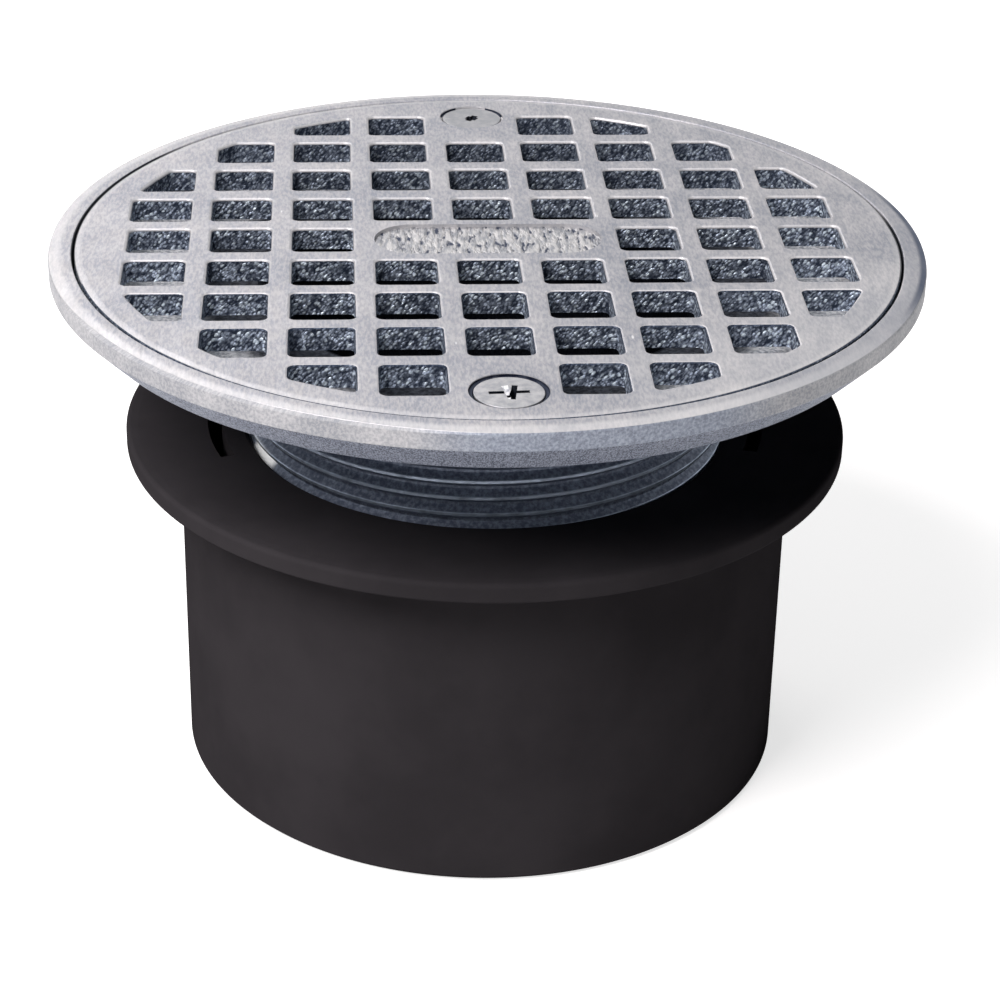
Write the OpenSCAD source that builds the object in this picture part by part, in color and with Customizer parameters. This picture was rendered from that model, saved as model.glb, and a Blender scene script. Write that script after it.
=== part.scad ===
// Adjustable floor drain with a round strainer.
// A moulded drain body stands on its spigot and carries a threaded throat. The cast
// strainer frame screws up and down in that throat on its shank. A drop-in grate lies
// on the frame's ledge, held by two countersunk screws.
// Lengths are millimetres. The origin is the centre of the spigot's lower end, +Z is up.

/* [Drain body] */
// Outside diameter of the spigot
spigot_od = 114.3; // [108:0.1:125]
// Wall thickness of the spigot
spigot_wall = 5.15; // [3:0.05:5.4]
// Height of the flange's upper edge above the spigot's lower end
body_h = 66.9; // [50:0.1:75]
// Outside diameter of the flange
flange_od = 134; // [128:0.5:150]
// Thickness of the flange at its edge
flange_t = 3.7; // [3:0.1:6]
// Fall of the flange's face from its edge to the throat
dish_drop = 0.9; // [0.2:0.1:1.5]
// Radius of the flange's upper edge
flange_round = 0.9; // [0.3:0.1:1.4]
// Fillet between the spigot and the flange
flange_fillet = 1.6; // [0.5:0.1:3]
// Chamfer round the spigot's lower end
spigot_chamfer = 0.8; // [0.3:0.1:2]
// Length of the threaded collar below the flange's face
collar_h = 22; // [16:0.5:30]
// Wall thickness of the collar
collar_wall = 4.7; // [2.5:0.1:5.5]
// Lead-in chamfer at the mouth of the throat
throat_chamfer = 0.8; // [0.3:0.1:1.5]
// Number of weep slots round the collar
weep_count = 2; // [2:1:4]
// Angle that each weep slot spans, in degrees
weep_angle = 39; // [10:1:60]
// Number of ribs between the collar and the spigot
rib_count = 4; // [3:1:6]
// Thickness of the ribs between the collar and the spigot
rib_t = 2.6; // [1.5:0.1:4]

/* [Thread] */
// Outside diameter of the shank's thread
thread_od = 88.9; // [84:0.1:92]
// Pitch of the thread
thread_pitch = 3.175; // [2:0.005:4]
// Depth of the thread
thread_depth = 1.3; // [0.8:0.1:1.6]
// Width of the flat on the thread's crest
crest_flat = 0.5; // [0.3:0.1:0.8]
// Radial clearance between the thread and the throat
thread_gap = 0.15; // [0.05:0.05:0.4]

/* [Strainer frame] */
// Height of the strainer's top above the spigot's lower end
strainer_z = 101.6; // [96:0.1:105]
// Outside diameter of the strainer
strainer_od = 158.75; // [156:0.05:180]
// Width of the rim between the grate's seat and its outer edge
rim_w = 4.2; // [3:0.1:8]
// Height of the rim from its flat top to the foot of its upright side face
side_h = 3.6; // [2.5:0.1:5]
// Width of the rim's sloped shoulder
shoulder_w = 2.6; // [1:0.1:2.9]
// Fall of the rim's shoulder towards its outer edge
shoulder_drop = 0.35; // [0.1:0.05:1]
// Width of the bevel under the side face
bevel_w = 5.6; // [3:0.1:7]
// Height of the bevel under the side face
bevel_h = 5.7; // [3:0.1:6]
// Thickness of the dished floor
floor_t = 3.2; // [2.5:0.1:4.5]
// Depth of the floor's outer edge below the ledge
floor_drop = 3.1; // [2:0.1:5]
// Fall of the floor from its outer edge to the bore
floor_fall = 0.9; // [0.3:0.1:2]
// Width of the ledge that carries the grate
ledge_w = 5.0; // [3:0.1:6]
// Wall of the shank between the thread's root and the water way
shank_wall = 2.55; // [2:0.05:6]
// Distance from the strainer's top to the shank's lower end
shank_len = 50.8; // [46:0.1:56]
// Length of the plain neck above the thread
neck_h = 3.5; // [2:0.1:6]
// Diameter of the screw bosses
boss_d = 12.5; // [10:0.1:14]

/* [Grate] */
// Thickness of the grate
grate_t = 4.7; // [4:0.1:6]
// Radial gap between the grate and its seat
seat_gap = 0.35; // [0.2:0.05:0.8]
// Radius of the grate's upper edge
grate_round = 0.4; // [0.2:0.1:0.8]
// Distance from one hole to the next
grid_pitch = 14.9; // [14.2:0.1:15]
// Width of a hole between its walls
hole_w = 11.1; // [9:0.1:11.4]
// Radius of a hole's corners
hole_round = 1.1; // [0.5:0.1:2]
// Width of the chamfer round a hole's mouth
hole_chamfer = 0.8; // [0.3:0.1:0.9]
// Width of the plain border round the field of holes
border_w = 5.9; // [5:0.1:9]
// Length of the sunk pad in the middle
pad_l = 41.5; // [36:0.5:42]
// Width of the sunk pad in the middle
pad_w = 13.8; // [10:0.1:14]
// Depth of the sunk pad
pad_sink = 0.6; // [0.2:0.1:1]

/* [Screws] */
// Distance from the grate's edge to each screw's axis
screw_inset = 10.3; // [9:0.1:12]
// Outside diameter of the screw's thread
screw_d = 6.35; // [4.8:0.05:6.5]
// Length of the screw, head included
screw_len = 9.5; // [8:0.1:10.5]
// Diameter of the screw's head
head_d = 11.7; // [10:0.1:12]
// Thickness of the head's upright rim
head_rim = 0.3; // [0.1:0.1:0.5]
// Full angle of the countersink, in degrees
sink_angle = 82; // [80:1:90]
// Depth of the head below the grate's face
head_sink = 0.25; // [0.1:0.05:0.5]
// Width of the shallow recess round the head
spot_w = 0.75; // [0.3:0.05:1.5]
// Gap between the head and its countersink, square to the cone
head_gap = 0.1; // [0.05:0.05:0.3]
// Radial gap round the screw in the grate
screw_gap = 0.25; // [0.1:0.05:0.5]
// Radial gap round the screw in its boss
tap_gap = 0.08; // [0.03:0.01:0.2]
// Width across the cross recess
recess_w = 6.9; // [5:0.1:7.2]
// Thickness of the cross recess's arms
recess_t = 1.2; // [0.8:0.1:1.6]
// Depth of the cross recess
recess_h = 2.0; // [1.2:0.1:2.4]

/* [Hidden] */
$fn = 96;
// Overlap that makes two solids of one piece meet
bite = 0.5;

spigot_r = spigot_od / 2;
spigot_ir = spigot_r - spigot_wall;
flange_r = flange_od / 2;
flange_low = body_h - flange_t;
throat_z = body_h - dish_drop;
thread_r = thread_od / 2;
throat_r = thread_r + thread_gap;
collar_r = throat_r + collar_wall;
collar_low = throat_z - collar_h;
weep_w = spigot_ir - collar_r;

strainer_r = strainer_od / 2;
root_r = thread_r - thread_depth;
bore_r = root_r - shank_wall;
seat_r = strainer_r - rim_w;
ledge_r = seat_r - ledge_w;
ledge_z = -grate_t;
floor_z = ledge_z - floor_drop;
floor_r = ledge_r - floor_drop;
floor_low = floor_z - floor_fall;
bevel_z = -side_h - bevel_h;
bevel_r = strainer_r - bevel_w;
thread_top = floor_low - floor_t - neck_h;
thread_rows = floor((shank_len + thread_top) / thread_pitch);

grate_r = seat_r - seat_gap;
field_r = grate_r - border_w;
grid_edge = floor(field_r / grid_pitch);

screw_r = grate_r - screw_inset;
sink_r = head_d / 2 + head_gap;
cone_h = (head_d - screw_d) / 2 / tan(sink_angle / 2);
recess_tip = 0.35;

// A 2-D corner of radius r cut from the first quadrant, used to round an outside corner
module corner_cut(r) {
    difference() {
        square(r + bite);
        circle(r);
    }
}

// Copies of the children at equal angles round the axis
module around(count, start = 0) {
    for (i = [0 : count - 1]) rotate(start + i * 360 / count) children();
}

// The flange, spigot and collar turned as one outline
module body_outline() {
    difference() {
        union() {
            polygon([
                [throat_r, flange_low], [flange_r, flange_low],
                [flange_r, body_h], [flange_r - flange_round, body_h],
                [throat_r, throat_z]
            ]);
            translate([spigot_ir, 0]) square([spigot_wall, flange_low + bite]);
            translate([throat_r, collar_low]) square([collar_wall, collar_h - dish_drop]);
            difference() {
                translate([spigot_r - bite, flange_low - flange_fillet])
                    square([flange_fillet + bite, flange_fillet + bite]);
                translate([spigot_r + flange_fillet, flange_low - flange_fillet])
                    circle(flange_fillet);
                translate([spigot_r - bite, flange_low])
                    square([flange_fillet + 2 * bite, 2 * bite]);
            }
        }
        translate([flange_r - flange_round, body_h - flange_round]) corner_cut(flange_round);
        translate([spigot_r, 0]) rotate(45)
            square(spigot_chamfer * sqrt(2), center = true);
        translate([throat_r, throat_z]) rotate(45)
            square(throat_chamfer * sqrt(2), center = true);
    }
}

// One weep slot: an arc as wide as the space between the collar and the spigot
module weep_slot() {
    half = weep_angle / 2;
    far = 2 * spigot_r;
    translate([0, 0, flange_low - bite]) linear_extrude(flange_t + 2 * bite) intersection() {
        difference() {
            circle(spigot_ir);
            circle(collar_r);
        }
        polygon([[0, 0], far * [cos(half), -sin(half)], far * [cos(half), sin(half)]]);
    }
}

module drain_body() color("#2b2a2d") {
    difference() {
        rotate_extrude() body_outline();
        around(weep_count) weep_slot();
    }
    around(rib_count, 180 / rib_count)
        translate([collar_r - bite, -rib_t / 2, collar_low + collar_wall])
            cube([weep_w + 2 * bite, rib_t, flange_low + bite - collar_low - collar_wall]);
}

// The rim, ledge, floor and plain shank, with its top at height 0
module frame_outline() {
    polygon([
        [seat_r, 0], [strainer_r - shoulder_w, 0], [strainer_r, -shoulder_drop],
        [strainer_r, -side_h], [bevel_r, bevel_z],
        [floor_r, floor_z - floor_t], [root_r, floor_low - floor_t],
        [root_r, -shank_len], [bore_r, -shank_len], [bore_r, floor_low],
        [floor_r, floor_z], [ledge_r, ledge_z], [seat_r, ledge_z]
    ]);
}

// One turn of the thread as a ring, standing on height 0
module thread_ring() {
    flank = (thread_pitch - crest_flat) / 2;
    polygon([
        [root_r - bite, 0], [root_r, 0], [thread_r, flank],
        [thread_r, flank + crest_flat], [root_r, thread_pitch], [root_r - bite, thread_pitch]
    ]);
}

// A boss that takes one screw, joined to the ledge behind it
module screw_boss() {
    boss_h = floor_drop + floor_fall + bite;
    translate([0, 0, ledge_z - boss_h]) {
        translate([screw_r, 0, 0]) cylinder(d = boss_d, h = boss_h);
        translate([screw_r, -boss_d / 2, 0]) cube([ledge_r + bite - screw_r, boss_d, boss_h]);
    }
}

module strainer_frame() color("#b9bbc0") translate([0, 0, strainer_z]) {
    difference() {
        union() {
            rotate_extrude() {
                frame_outline();
                for (i = [1 : thread_rows])
                    translate([0, thread_top - i * thread_pitch]) thread_ring();
            }
            around(2, 90) screw_boss();
        }
        around(2, 90) translate([screw_r, 0, ledge_z - floor_drop - floor_fall - 2 * floor_t])
            cylinder(r = screw_d / 2 + tap_gap, h = floor_drop + floor_fall + 2 * floor_t + bite);
    }
}

// A prism along Y with sloped sides: w wide at its foot, chamfer c wider each side at height h
module flared_bar(w, c, h, l) {
    translate([0, l / 2, 0]) rotate([90, 0, 0]) linear_extrude(l)
        polygon([[-w / 2, 0], [w / 2, 0], [w / 2 + c, h], [-w / 2 - c, h]]);
}

// The cutter of one hole: a square shaft with round corners and a chamfered mouth
module hole_cutter() {
    inner = hole_w / 2 - hole_round;
    mouth = hole_chamfer + bite;
    translate([0, 0, -grate_t - bite]) linear_extrude(grate_t + 2 * bite) {
        square([hole_w, 2 * inner], center = true);
        square([2 * inner, hole_w], center = true);
        for (x = [-inner, inner], y = [-inner, inner]) translate([x, y]) circle(hole_round, $fn = 32);
    }
    translate([0, 0, -hole_chamfer]) intersection() {
        flared_bar(hole_w - hole_round, mouth, mouth, hole_w + 2 * mouth);
        rotate(90) flared_bar(hole_w - hole_round, mouth, mouth, hole_w + 2 * mouth);
    }
}

// Whether the lattice has a hole at column i and row j, counted from the middle: its
// centre lies inside the field, clear of the pad and of the two screws
function has_hole(i, j) =
    norm([i, j]) * grid_pitch < field_r
    && !(j == 0 && abs(i) < 2)
    && !(i == 0 && abs(j) == grid_edge);

// The round field that trims the outer holes
module hole_field() {
    rotate_extrude() {
        translate([0, -grate_t - bite]) square([field_r, grate_t + 2 * bite]);
        polygon([
            [0, -hole_chamfer], [field_r, -hole_chamfer],
            [field_r + hole_chamfer + bite, bite], [0, bite]
        ]);
    }
}

module grate() color("#c6c7cb") translate([0, 0, strainer_z]) {
    columns = [-grid_edge : grid_edge];
    difference() {
        rotate_extrude() difference() {
            translate([0, -grate_t]) square([grate_r, grate_t]);
            translate([grate_r - grate_round, -grate_round]) corner_cut(grate_round);
        }
        intersection() {
            hole_field();
            union() for (i = columns, j = columns) if (has_hole(i, j))
                translate([i * grid_pitch, j * grid_pitch, 0]) hole_cutter();
        }
        around(2, 90) translate([screw_r, 0, 0]) countersink();
        translate([0, 0, -pad_sink]) linear_extrude(pad_sink + bite) {
            square([pad_l - pad_w, pad_w], center = true);
            for (side = [-1, 1]) translate([side * (pad_l - pad_w) / 2, 0]) circle(pad_w / 2);
        }
    }
}

// The seat of one screw in the grate, with the grate's face at height 0
module countersink() {
    hole_r = screw_d / 2 + screw_gap;
    top = -head_sink - head_rim;
    drop = (sink_r - hole_r) / tan(sink_angle / 2);
    rotate_extrude() polygon([
        [0, -grate_t - bite], [hole_r, -grate_t - bite], [hole_r, top - drop],
        [sink_r, top], [sink_r + spot_w, top], [sink_r + spot_w, bite], [0, bite]
    ]);
}

// One countersunk screw with its head's face at height 0
module screw() {
    difference() {
        rotate_extrude() polygon([
            [0, 0], [head_d / 2, 0], [head_d / 2, -head_rim], [screw_d / 2, -head_rim - cone_h],
            [screw_d / 2, -screw_len + recess_t / 2], [screw_d / 2 - recess_t / 2, -screw_len],
            [0, -screw_len]
        ]);
        intersection() {
            union() for (turn = [0, 90]) rotate(turn)
                translate([-recess_w / 2, -recess_t / 2, -recess_h])
                    cube([recess_w, recess_t, recess_h + bite]);
            rotate_extrude() polygon([
                [0, -recess_h], [recess_tip, -recess_h], [recess_w / 2, 0],
                [recess_w / 2, bite], [0, bite]
            ]);
        }
    }
}

module front_screw() color("#d2d2d4")
    translate([0, -screw_r, strainer_z - head_sink]) screw();

module rear_screw() color("#d2d2d4")
    translate([0, screw_r, strainer_z - head_sink]) screw();

drain_body();
strainer_frame();
grate();
front_screw();
rear_screw();
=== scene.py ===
"""Looks of an adjustable round floor drain.

The drain is a black moulded body that stands on its spigot, a cast strainer frame that
screws into it, a drop-in grate and the two countersunk screws that hold the grate. Every
length in a class is in millimetres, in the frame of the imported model, and is turned into
metres where a mesh is made. Angles round the axis are in degrees from +X.
"""

import logging
import math
import random
from collections.abc import Sequence
from dataclasses import dataclass, field
from enum import Enum, IntEnum
from functools import cached_property
from typing import NamedTuple

import bmesh
import bpy
from mathutils import Matrix, Vector


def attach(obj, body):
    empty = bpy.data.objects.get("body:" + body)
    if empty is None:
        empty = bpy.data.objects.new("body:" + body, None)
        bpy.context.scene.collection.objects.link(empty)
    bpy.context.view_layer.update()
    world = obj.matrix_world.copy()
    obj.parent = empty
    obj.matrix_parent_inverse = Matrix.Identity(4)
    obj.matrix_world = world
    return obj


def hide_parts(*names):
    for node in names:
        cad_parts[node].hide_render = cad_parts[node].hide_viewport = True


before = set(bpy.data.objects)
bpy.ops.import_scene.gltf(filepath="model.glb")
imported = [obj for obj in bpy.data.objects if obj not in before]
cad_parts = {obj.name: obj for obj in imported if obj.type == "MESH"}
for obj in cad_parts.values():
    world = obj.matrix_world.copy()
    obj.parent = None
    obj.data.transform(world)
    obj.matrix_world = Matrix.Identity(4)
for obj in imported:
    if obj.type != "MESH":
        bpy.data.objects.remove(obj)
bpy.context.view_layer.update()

LOG = logging.getLogger("floor_drain")
MM = 0.001
FULL_TURN = 2.0 * math.pi
WELD = 2e-6  # the distance at which points are one, in metres
AXIS_R = 0.001  # the radius of points on the axis
BITE = 0.6  # how far a solid reaches into the one that it is joined to
OVER = 2.0  # how far a cutter reaches past the face that it cuts

Color = tuple[float, float, float]
Span = tuple[float, float]

CLOUDY: Span = (0.3, 0.7)  # the noise that gives 0 and 1 in clouds
BLOTCHY: Span = (0.35, 0.7)  # the same in blotches
GRAINY: Span = (0.35, 0.65)  # the same in grains


class Skin(IntEnum):
    """The finishes of a cast piece, in the order of its material slots."""

    GROUND = 0
    SAND = 1
    THREAD = 2
    PEBBLED = 3
    SIDE = 4
    BEVEL = 5
    # painted shade: near black where the inside lies in shade
    INSIDE = 6
    # painted light: a pale floor that looks lit, also used for a painted glint in a screw's cross
    LIT_LEDGE = 7
    # painted shade in the screws' countersink rings
    SINK_SHADE = 8


class Join(Enum):
    """What a solid does to the piece that it is combined with."""

    ADD = "UNION"
    CUT = "DIFFERENCE"
    TRIM = "INTERSECT"


class Sector(NamedTuple):
    """A part of the turn: its middle, and how far from it it is whole and where it ends."""

    at: float
    inner: float
    outer: float


class Swelling(NamedTuple):
    """A place where a round piece grows: its middle, its half width and the growth."""

    at: float
    width: float
    by: float


# ---------------------------------------------------------------------------
# Shader arithmetic
# ---------------------------------------------------------------------------


class Signal:
    """A node's output that takes part in arithmetic, so that shader maths reads as maths."""

    def __init__(self, tree: "ShaderTree", socket: bpy.types.NodeSocket) -> None:
        """Wraps an output socket of a tree, which new Math nodes go into."""
        self.tree = tree
        self.socket = socket

    def _math(self, operation: str, first: "Signal | float", second: "Signal | float") -> "Signal":
        """Adds a Math node that works on two values or signals."""
        return self.tree.node("ShaderNodeMath", {"operation": operation}, {0: first, 1: second})

    def __add__(self, other: "Signal | float") -> "Signal":
        """This plus other."""
        return self._math("ADD", self, other)

    __radd__ = __add__

    def __sub__(self, other: "Signal | float") -> "Signal":
        """This minus other."""
        return self._math("SUBTRACT", self, other)

    def __rsub__(self, other: "Signal | float") -> "Signal":
        """Other minus this."""
        return self._math("SUBTRACT", other, self)

    def __mul__(self, other: "Signal | float") -> "Signal":
        """This times other."""
        return self._math("MULTIPLY", self, other)

    __rmul__ = __mul__

    def __truediv__(self, other: "Signal | float") -> "Signal":
        """This over other."""
        return self._math("DIVIDE", self, other)

    def __rtruediv__(self, other: "Signal | float") -> "Signal":
        """Other over this."""
        return self._math("DIVIDE", other, self)

    def __pow__(self, other: float) -> "Signal":
        """This to the power of other."""
        return self._math("POWER", self, other)

    def most(self, other: "Signal") -> "Signal":
        """The larger of this and other."""
        return self._math("MAXIMUM", self, other)

    def step(self, low: float, high: float) -> "Signal":
        """Rises smoothly from 0 at low to 1 at high, or falls where low is above high.

        Args:
            low: The value that gives 0.
            high: The value that gives 1.

        Returns:
            The smooth step.
        """
        rising = low < high
        ends = {1: min(low, high), 2: max(low, high)}
        result = self.tree.node(
            "ShaderNodeMapRange", {"interpolation_type": "SMOOTHSTEP"}, {0: self, **ends}
        )
        return result if rising else 1.0 - result


Value = Signal | float | tuple[float, ...]


class ShaderTree:
    """The nodes of a material or a world, with one shader at their end."""

    def __init__(
        self, owner: bpy.types.Material | bpy.types.World, shader: str = "Principled BSDF"
    ) -> None:
        """Takes up a new material or world.

        Args:
            owner: The material or world.
            shader: The name of its shader node.
        """
        owner.use_nodes = True
        self.owner = owner
        self.nodes = owner.node_tree.nodes
        self.links = owner.node_tree.links
        self.shader = self.nodes[shader]

    @classmethod
    def of_material(cls, name: str) -> "ShaderTree":
        """The tree of a new material."""
        return cls(bpy.data.materials.new(name))

    def node(
        self,
        kind: str,
        settings: dict[str, object] | None = None,
        inputs: dict[int | str, Value] | None = None,
        output: int | str = 0,
    ) -> Signal:
        """Adds a node of any type.

        Args:
            kind: The node's type.
            settings: Its properties, set before its sockets.
            inputs: Values or signals by socket name or number.
            output: The socket that is returned.

        Returns:
            The chosen output.
        """
        made = self.nodes.new(kind)
        for name, value in (settings or {}).items():
            setattr(made, name, value)
        for name, value in (inputs or {}).items():
            self._feed(made.inputs[name], value)
        return Signal(self, made.outputs[output])

    def _feed(self, socket: bpy.types.NodeSocket, value: Value) -> None:
        """Links a signal to a socket, or sets the socket's value.

        Args:
            socket: The input socket.
            value: The signal, number or tuple.
        """
        if isinstance(value, Signal):
            self.links.new(value.socket, socket)
        elif isinstance(value, tuple) and len(value) == 3 and socket.type == "RGBA":
            socket.default_value = (*value, 1.0)
        else:
            socket.default_value = value

    def split(self, vector: Signal) -> tuple[Signal, Signal, Signal]:
        """The X, Y and Z parts of a vector."""
        parts = self.node("ShaderNodeSeparateXYZ", None, {0: vector}).socket.node
        return tuple(Signal(self, socket) for socket in parts.outputs)

    def vector(self, x: Value, y: Value, z: Value) -> Signal:
        """A vector made of three parts."""
        return self.node("ShaderNodeCombineXYZ", None, {0: x, 1: y, 2: z})

    @cached_property
    def place(self) -> Signal:
        """The point's place in the frame, in metres."""
        return self.node("ShaderNodeTexCoord", output="Object")

    @cached_property
    def parts(self) -> tuple[Signal, Signal, Signal]:
        """The three parts of the place, in metres."""
        return self.split(self.place)

    @cached_property
    def reach(self) -> Signal:
        """The point's distance from the axis, in metres."""
        x, y, _ = self.parts
        return (x * x + y * y) ** 0.5

    @cached_property
    def radius(self) -> Signal:
        """The point's distance from the axis, in millimetres."""
        return self.reach / MM

    @cached_property
    def height(self) -> Signal:
        """The point's height, in millimetres."""
        return self.parts[2] / MM

    @cached_property
    def seen(self) -> Signal:
        """Whether a ray comes from the camera, also by reflection or through glass.

        Returns:
            1 for such a ray and 0 for one that brings light.
        """
        camera, glossy, through = (
            self.node("ShaderNodeLightPath", output=name)
            for name in ("Is Camera Ray", "Is Glossy Ray", "Is Transmission Ray")
        )
        return camera.most(glossy.most(through))

    def within(self, sector: Sector) -> Signal:
        """How near the point is to the middle of a sector.

        Args:
            sector: The sector.

        Returns:
            The nearness, from 0 to 1.
        """
        x, y, _ = self.parts
        turn = math.radians(sector.at)
        along = (x * math.cos(turn) + y * math.sin(turn)) / self.reach
        return along.step(*(math.cos(math.radians(off)) for off in (sector.outer, sector.inner)))

    def rolled(self, radius: float, rise: float) -> Signal:
        """The point's place moved out or in to a cylinder about the axis.

        Args:
            radius: The cylinder's radius, in millimetres.
            rise: What heights are multiplied by.

        Returns:
            The moved place.
        """
        x, y, z = self.parts
        share = radius * MM / self.reach
        return self.vector(x * share, y * share, z * rise)

    def stretch(self, factors: tuple[float, float, float]) -> Signal:
        """The point's place, multiplied part by part."""
        inputs = {0: self.place, 1: factors}
        return self.node("ShaderNodeVectorMath", {"operation": "MULTIPLY"}, inputs)

    def noise(
        self, size: float, detail: float = 3.0, rough: float = 0.5, place: Signal | None = None
    ) -> Signal:
        """Fractal noise.

        Args:
            size: The size of its largest grains, in millimetres.
            detail: Its octaves.
            rough: How much the fine octaves weigh.
            place: Where it is looked up, by default the point's place.

        Returns:
            The noise, from about 0.2 to 0.8.
        """
        inputs = {
            "Vector": place or self.place, "Scale": 1.0 / (size * MM),
            "Detail": detail, "Roughness": rough,
        }
        return self.node("ShaderNodeTexNoise", {"noise_dimensions": "3D"}, inputs, "Fac")

    def cells(self, size: float, place: Signal) -> tuple[Signal, Signal]:
        """Scattered round cells.

        Args:
            size: The cells' spacing, in millimetres.
            place: Where they are looked up.

        Returns:
            The distance from the nearest cell's middle, in spacings, and that cell's own
            random value.
        """
        inputs = {"Vector": place, "Scale": 1.0 / (size * MM)}
        distance = self.node("ShaderNodeTexVoronoi", {"feature": "F1"}, inputs, "Distance")
        color = Signal(self, distance.socket.node.outputs["Color"])
        return distance, self.split(color)[0]

    def mix(self, factor: Value, first: Value, second: Value) -> Signal:
        """Mixes two colours: the first where the factor is 0, the second where it is 1."""
        inputs = {"Factor": factor, 6: first, 7: second}
        return self.node("ShaderNodeMix", {"data_type": "RGBA"}, inputs, 2)

    def bump(self, height: Signal, depth: float, strength: float = 1.0) -> Signal:
        """Turns a height from 0 to 1, whose 1 is depth millimetres, into a normal."""
        inputs = {"Height": height, "Distance": depth * MM, "Strength": strength}
        return self.node("ShaderNodeBump", None, inputs)

    def finish(self, **sockets: Value) -> bpy.types.Material | bpy.types.World:
        """Feeds the shader.

        Args:
            **sockets: Socket names, with an underscore for each space, and their values.

        Returns:
            The material or world.
        """
        for name, value in sockets.items():
            socket = name.replace("_", " ").title().replace("Ior", "IOR")
            self._feed(self.shader.inputs[socket], value)
        return self.owner


# ---------------------------------------------------------------------------
# Finishes
# ---------------------------------------------------------------------------


@dataclass(frozen=True)
class GroundCasting:
    """The ground and satin-finished faces. Bands are counted from the groove outwards."""

    top: float
    groove_r: float
    name: str = "ground_casting"
    pale: Color = (0.465, 0.455, 0.465)
    cool: Color = (0.205, 0.220, 0.262)
    speck: Color = (0.85, 0.85, 0.86)
    # the colour of rubbed edges, used as well for painted highlights and painted light
    rubbed: Color = (0.74, 0.73, 0.73)
    # painted shade on the groove's lips
    groove_shade: Color = (0.02, 0.024, 0.032)
    # painted shade on the right of the rim's shoulder
    right_shoulder_shade: Color = (0.05, 0.065, 0.105)
    metallic: float = 0.6
    rough_low: float = 0.42
    rough_high: float = 0.60
    stroke: tuple[float, float, float] = (1.0, 0.28, 1.0)
    cloud_size: float = 14.0
    blotch_size: float = 2.2
    grain_size: float = 0.5
    grain_ends: Span = (0.34, 0.66)
    cloud_share: float = 0.32
    blotch_share: float = 0.22
    grain_share: float = 0.46
    relief: float = 0.06
    speck_size: float = 1.3
    speck_edge: Span = (0.2, 0.1)
    speck_odds: Span = (0.95, 0.99)
    speck_depth: Span = (0.003, 0.001)
    speck_r: Span = (57.0, 55.0)
    speck_share: float = 0.6
    rub_and_highlight_share: float = 0.45
    # painted shade: a band beside the groove is painted darker at the front right
    cool_shade_band: Span = (0.3, 0.9)
    cool_shade_sector: Sector = Sector(338.0, 24.0, 50.0)
    cool_shade_share: float = 0.35
    # where the painted shade on the rim's shoulder lies
    right_shoulder_shade_band: Span = (2.7, 3.6)
    right_shoulder_shade_sector: Sector = Sector(-4.0, 12.0, 26.0)
    # edges and hole mouths painted lighter: rubbed wear and painted highlights; the rim's painted
    # highlight is left out at the back right
    grate_edge: tuple[Span, Span] = ((-1.9, -0.7), (0.3, 0.0))
    grate_rub_and_highlight: float = 0.6
    rim_edge: Span = (1.5, 3.0)
    rim_rub_and_highlight: float = 0.8
    unlit_rim: Sector = Sector(20.0, 45.0, 68.0)
    unlit_share: float = 0.9
    mouth_band: Span = (-2.0, -3.0)
    mouth_depth: Span = (0.01, 0.10)
    mouth_rub_and_highlight: float = 0.8
    # painted light: the grate's top is painted lighter at the front right
    front: Sector = Sector(318.0, 12.0, 40.0)
    front_light_r: Span = (45.0, 65.0)
    front_light_share: float = 0.4
    # painted shade on the groove's lips, left out at the front and at the back right
    lips: tuple[Span, Span] = ((-0.55, -0.3), (0.55, 0.35))
    lip_depth: Span = (0.03, 0.09)
    unshaded_front: Sector = Sector(256.0, 16.0, 36.0)
    unshaded_share: float = 0.95
    unshaded_rear: Sector = Sector(75.0, 62.0, 72.0)

    def material(self) -> bpy.types.Material:
        """Builds the material.

        Returns:
            The material.
        """
        tree = ShaderTree.of_material(self.name)
        off_groove, depth = tree.radius - self.groove_r, self.top - tree.height
        linished = tree.stretch(self.stroke)
        clouds = tree.noise(self.cloud_size, 4.0, 0.6).step(*CLOUDY)
        grain = tree.noise(self.grain_size, 3.0, 0.65, linished)
        blotch = tree.noise(self.blotch_size, 4.0, 0.6, linished).step(*BLOTCHY)
        tone = (
            clouds * self.cloud_share + blotch * self.blotch_share
            + grain.step(*self.grain_ends) * self.grain_share
        )
        distance, value = tree.cells(self.speck_size, linished)
        specks = distance.step(*self.speck_edge) * value.step(*self.speck_odds)
        specks = specks * depth.step(*self.speck_depth) * tree.radius.step(*self.speck_r)
        # painted highlights and rubbed wear on edges and mouths, and painted light at the front
        # right
        rubbing_and_highlights = self._rubbing_and_highlights(tree, off_groove, depth)
        # painted shade beside the groove at the front right
        cool_shaded = off_groove.step(*self.cool_shade_band) * tree.within(self.cool_shade_sector)
        # painted shade on the right of the rim's shoulder
        right_shoulder_shaded = off_groove.step(*self.right_shoulder_shade_band) * tree.within(self.right_shoulder_shade_sector)
        ground = tree.mix(tone, self.cool, self.pale)
        ground = tree.mix(specks * self.speck_share, ground, self.speck)
        ground = tree.mix(rubbing_and_highlights * self.rub_and_highlight_share, ground, self.rubbed)
        ground = tree.mix(cool_shaded * self.cool_shade_share, ground, self.cool)
        ground = tree.mix(right_shoulder_shaded, ground, self.right_shoulder_shade)
        # painted shade on the groove's lips is mixed in last
        return tree.finish(
            base_color=tree.mix(self._groove_shading(tree, off_groove, depth), ground, self.groove_shade),
            metallic=self.metallic,
            roughness=self.rough_low + (self.rough_high - self.rough_low) * blotch,
            normal=tree.bump(grain, self.relief, 0.8),
        )

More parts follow.
